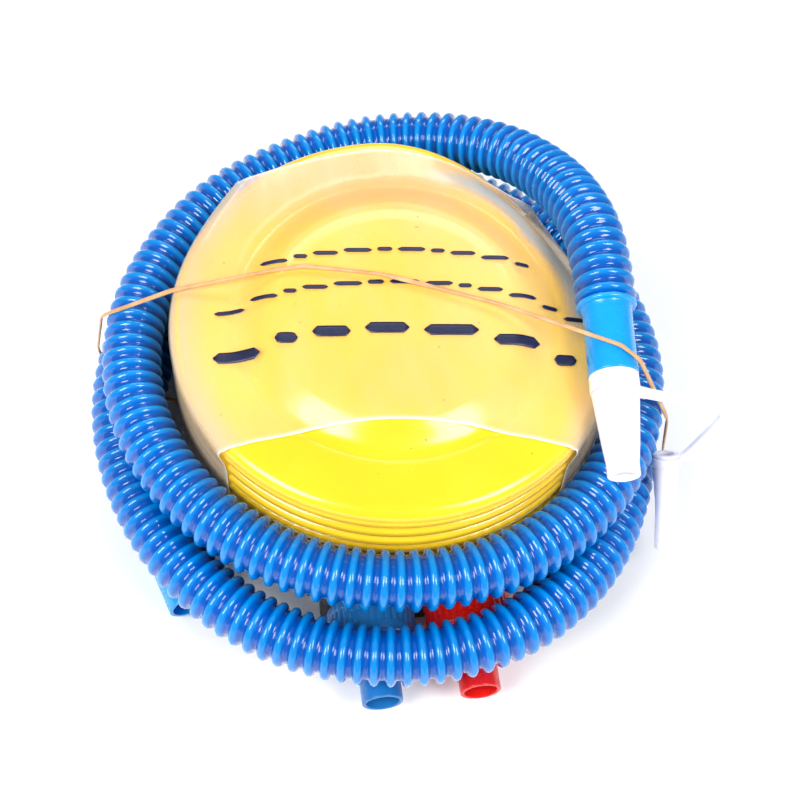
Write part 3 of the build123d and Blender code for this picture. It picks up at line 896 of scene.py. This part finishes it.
def make_film():
    columns = film_columns()
    rows = [row / FILM_ROWS for row in range(FILM_ROWS + 1)]
    rows = [0.0, 0.004] + rows[1:-1] + [0.996, 1.0]
    points, edge, haze, grey_reflection_shade = [], [], [], []
    for row in rows:
        for column in columns:
            points.append(film_spot(column, row))
            edge.append(1.0 if row in (0.0, 1.0) else 0.55 if row in (0.004, 0.996) else 0.0)
            # The second value from film_haze is the painted grey reflection and shade; it goes to a point
            # attribute that greys the film's colour.
            milky, loose = film_haze(points[-1], column)
            haze.append(milky)
            grey_reflection_shade.append(loose)
    width = len(columns)
    faces = [(r * width + c, r * width + c + 1, (r + 1) * width + c + 1, (r + 1) * width + c)
             for r in range(len(rows) - 1) for c in range(width - 1)]
    film = new_mesh("film_sleeve_sheet", points, faces)
    point_values(film, "edge", edge)
    point_values(film, "haze", haze)
    point_values(film, "grey_reflection_shade", grey_reflection_shade)
    thicken(film, 0.12, 0)
    paint(film, FILM)
    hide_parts("film_sleeve")
    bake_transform(film)
    middle = [film_spot(c, 0.5) for c in columns]
    centre = [film_spot(0, r) for r in rows]


# ---------------------------------------------------------------- print on the film
PRINT_LIFT = 0.16


def film_at(x, along):
    """Point on the film's top for a place in the sleeve's own frame."""
    across = TOP_REACH * x / (film_half_width(along) - 1.0)
    front, back = film_ends(min(1.0, abs(across) * 2.04) ** 2)
    return film_spot(across, (along - front) / (back - front))


def make_print():
    """Three rows of plain bars, where the real film carries printed instructions."""
    rows = [  # place along the sleeve, bar height, first and last place across, bar lengths
        (21.5, 4.6, -45, 47, (9.2, 4.6, 8.4, 9.4, 5.0)),
        (8.2, 4.6, -60, 60, (10.0, 9.0, 4.4, 8.4, 9.4, 5.4)),
        (-9.8, 11.5, -60, 62, (15.4, 7.4, 12.4, 14.4, 18.0)),
    ]
    points, faces = [], []
    for along, height, start, stop, lengths in rows:
        place, turn = start, 0
        while place < stop:
            long = lengths[turn % len(lengths)]
            bend = -0.0028 * (place + long / 2) ** 2
            add_bar(points, faces, place, long, along + bend, height * 0.36)
            place += long + height * 0.42
            turn += 1
    ink = new_mesh("print_bars", points, faces)
    fix_normals(ink)
    thicken(ink, 0.05, 1)
    paint(ink, INK)
    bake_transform(ink)


def add_bar(points, faces, x, long, along, height):
    """One rounded bar of ink that follows the film."""
    steps, across = 8, 4
    start = len(points)
    for i in range(steps + 1):
        share = i / steps
        end = min(share, 1 - share) * long
        radius = height / 2
        half = radius if end >= radius else math.sqrt(max(0.05, radius * radius - (radius - end) ** 2))
        for j in range(across + 1):
            y = along + half * (2 * j / across - 1)
            points.append(film_at(x + long * share, y) + Vector((0, 0, PRINT_LIFT * MM)))
    for i in range(steps):
        for j in range(across):
            row = start + i * (across + 1) + j
            faces.append((row, row + across + 1, row + across + 2, row + 1))


# ---------------------------------------------------------------- rubber band
# Corners of the stretched band in millimetres, within 2 mm of the CAD part's.
BAND_ROUTE = [
    (12, 4.3, 86.6), (34, -5.5, 87.2), (67.9, -31, 96.6), (73.8, -34.9, 93), (92.3, -32.7, 47),
    (95.3, -33.3, 21), (92.6, -32.7, 15.2), (71.8, -26.8, 0.65), (-4.1, -10.5, 0.65),
    (-93.5, 26, 0.65), (-100, 26.6, 6.8), (-102.6, 25.6, 33.2), (-98.3, 22, 59.4),
    (-72.7, 16.6, 79.2), (-41, 16.8, 85.2), (-29, 17, 86.3), (-4, 11, 86.6),
]
BAND_BEND = 5.0
BAND_HALF_WIDTH = 0.8
BAND_HALF_THICKNESS = 0.42
BAND_SECTION = 12


def make_band():
    """Flat rubber band with rounded edges that twists a little between its corners."""
    corners = [Vector(corner) * MM for corner in BAND_ROUTE]
    controls = []
    for here, after in zip(corners, corners[1:] + corners[:1]):
        inset = min(0.3, BAND_BEND * MM / (after - here).length)
        controls += [here, here.lerp(after, inset), here.lerp(after, 1 - inset)]
    line = curve_points(controls, resolution=10, closed=True)
    count = len(line)
    middle = sum(line, Vector()) / count
    section = []
    for step in range(BAND_SECTION):
        angle = 2 * math.pi * step / BAND_SECTION
        c, s = math.cos(angle), math.sin(angle)
        section.append((BAND_HALF_WIDTH * math.copysign(abs(c) ** 0.6, c) * MM,
                        BAND_HALF_THICKNESS * math.copysign(abs(s) ** 0.6, s) * MM))
    points, faces = [], []
    for i, spot in enumerate(line):
        tangent = (line[(i + 1) % count] - line[i - 1]).normalized()
        out = spot - middle
        out = (out - tangent * out.dot(tangent)).normalized()
        side = tangent.cross(out)
        turn = 0.3 * math.sin(9 * math.pi * 2 * i / count)
        c, s = math.cos(turn), math.sin(turn)
        points += [spot + side * (x * c - y * s) + out * (x * s + y * c) for x, y in section]
    add_rings(faces, BAND_SECTION, count, closed=True)
    band = new_mesh("tan_band", points, faces)
    fix_normals(band)
    paint(band, BAND)
    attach(band, "base")
    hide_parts("rubber_band")


# ---------------------------------------------------------------- carried-over CAD nodes
CAD_LOOKS = {
    "base_shell": (BLACK, "black_plastic"),
    "rubber_feet": (RUBBER, "foot_rubber"),
    "blue_valve_gasket": (RUBBER, "gasket_rubber"),
    "red_valve_gasket": (RUBBER, "gasket_rubber"),
    "blue_valve_seat": (VALVE_BLUE, "blue_plastic"),
    "red_valve_seat": (VALVE_RED, "red_plastic"),
    "blue_valve_flap": (RUBBER, "gasket_rubber"),
    "red_valve_flap": (RUBBER, "gasket_rubber"),
    "top_stiffener": (BLACK, "black_plastic"),
    "spring_cup": (BLACK, "black_plastic"),
}


def dress_cad_nodes():
    for node, (material, slot) in CAD_LOOKS.items():
        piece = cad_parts[node]
        paint(piece, material)
        piece.data.polygons.foreach_set("use_smooth", [True] * len(piece.data.polygons))
        piece.data.set_sharp_from_angle(angle=math.radians(30))


# ---------------------------------------------------------------- stage and light
def add_light(name, place, target, size, power):
    data = bpy.data.lights.new(name, "AREA")
    data.shape = "RECTANGLE"
    data.size, data.size_y = size
    data.energy = power
    lamp = bpy.data.objects.new(name, data)
    bpy.context.scene.collection.objects.link(lamp)
    lamp.location = place
    lamp.rotation_mode = "QUATERNION"
    lamp.rotation_quaternion = (Vector(target) - Vector(place)).to_track_quat("-Z", "Y")


def make_stage():
    floor = new_mesh("floor", [(-3, -3, 0), (3, -3, 0), (3, 3, 0), (-3, 3, 0)], [(0, 1, 2, 3)], smooth=False)
    shader = Shader("pale_floor")
    shader.to(shader.ramp(shader.noise(3, 2), [(0.3, grey(0.92)), (0.7, grey(0.95))]), "Base Color")
    shader.set(Roughness=0.9)
    floor.data.materials.append(shader.material)
    world = bpy.data.worlds.new("studio")
    world.use_nodes = True
    world.node_tree.nodes["Background"].inputs["Color"].default_value = (0.96, 0.98, 1.0, 1)
    world.node_tree.nodes["Background"].inputs["Strength"].default_value = 0.34
    bpy.context.scene.world = world
    bpy.context.scene.view_settings.view_transform = "Standard"
    add_light("key_left", (-0.55, -0.35, 0.75), (0, 0, 0.05), (0.42, 0.5), 9.0)
    add_light("key_right", (0.45, -0.5, 0.8), (0, 0, 0.05), (0.36, 0.5), 7.5)
    add_light("back_strip", (0.1, 0.7, 0.7), (0, 0, 0.05), (0.8, 0.2), 3.5)


# ---------------------------------------------------------------- put it together
make_camera()
hose, hose_line, hose_length = make_hose()
air_cuff = make_cuff("air_cuff_sleeve", "air_end_cuff", ROUTE[0], AIR_AXIS)
pump_cuff = make_cuff("pump_cuff_sleeve", "pump_end_cuff", ROUTE[-1], PUMP_CUFF_AXIS)
nozzle = make_nozzle()
tether = make_tether()
adapter = make_adapter()
make_top()
make_bellows()
make_spring()
make_valve("blue_valve_cap", "blue_valve_housing", VALVE_BLUE)
make_valve("red_valve_cap", "red_valve_housing", VALVE_RED)
make_film()
make_print()
make_band()
dress_cad_nodes()
make_stage()
